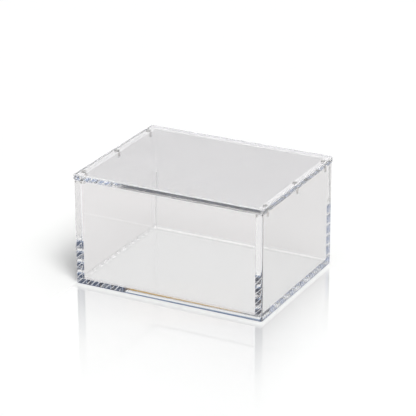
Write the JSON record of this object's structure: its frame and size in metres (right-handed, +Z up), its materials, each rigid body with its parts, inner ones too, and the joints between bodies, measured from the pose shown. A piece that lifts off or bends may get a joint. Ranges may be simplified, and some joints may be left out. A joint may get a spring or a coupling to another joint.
{
  "type": "acrylic storage box with lid",
  "caption": "Clear acrylic storage box with cemented flat panels and a lift-off flat lid located by small round pegs in the side walls.",
  "frame": {"origin": "centre of the footprint on the surface that the box stands on", "axes": "+X to the right along the long side, +Y from the front wall to the back wall, +Z up"},
  "size_m": [0.172, 0.134, 0.0966],
  "materials": {
    "clear_acrylic": "clear cast acrylic sheet with polished edges",
    "clear_acrylic_rod": "clear acrylic rod, cut and polished"
  },
  "bodies": {
    "box": {"floor_panel": "clear_acrylic", "left_wall": "clear_acrylic", "right_wall": "clear_acrylic", "front_wall": "clear_acrylic", "back_wall": "clear_acrylic"},
    "lid": {"lid_panel": "clear_acrylic", "peg_front_left": "clear_acrylic_rod", "peg_middle_left": "clear_acrylic_rod", "peg_back_left": "clear_acrylic_rod", "peg_front_right": "clear_acrylic_rod", "peg_middle_right": "clear_acrylic_rod", "peg_back_right": "clear_acrylic_rod"}
  },
  "joints": [
    {"name": "lid_lift", "type": "slide", "parent": "box", "child": "lid", "axis": [0, 0, 1], "range_m": [0, 0.12]}
  ]
}
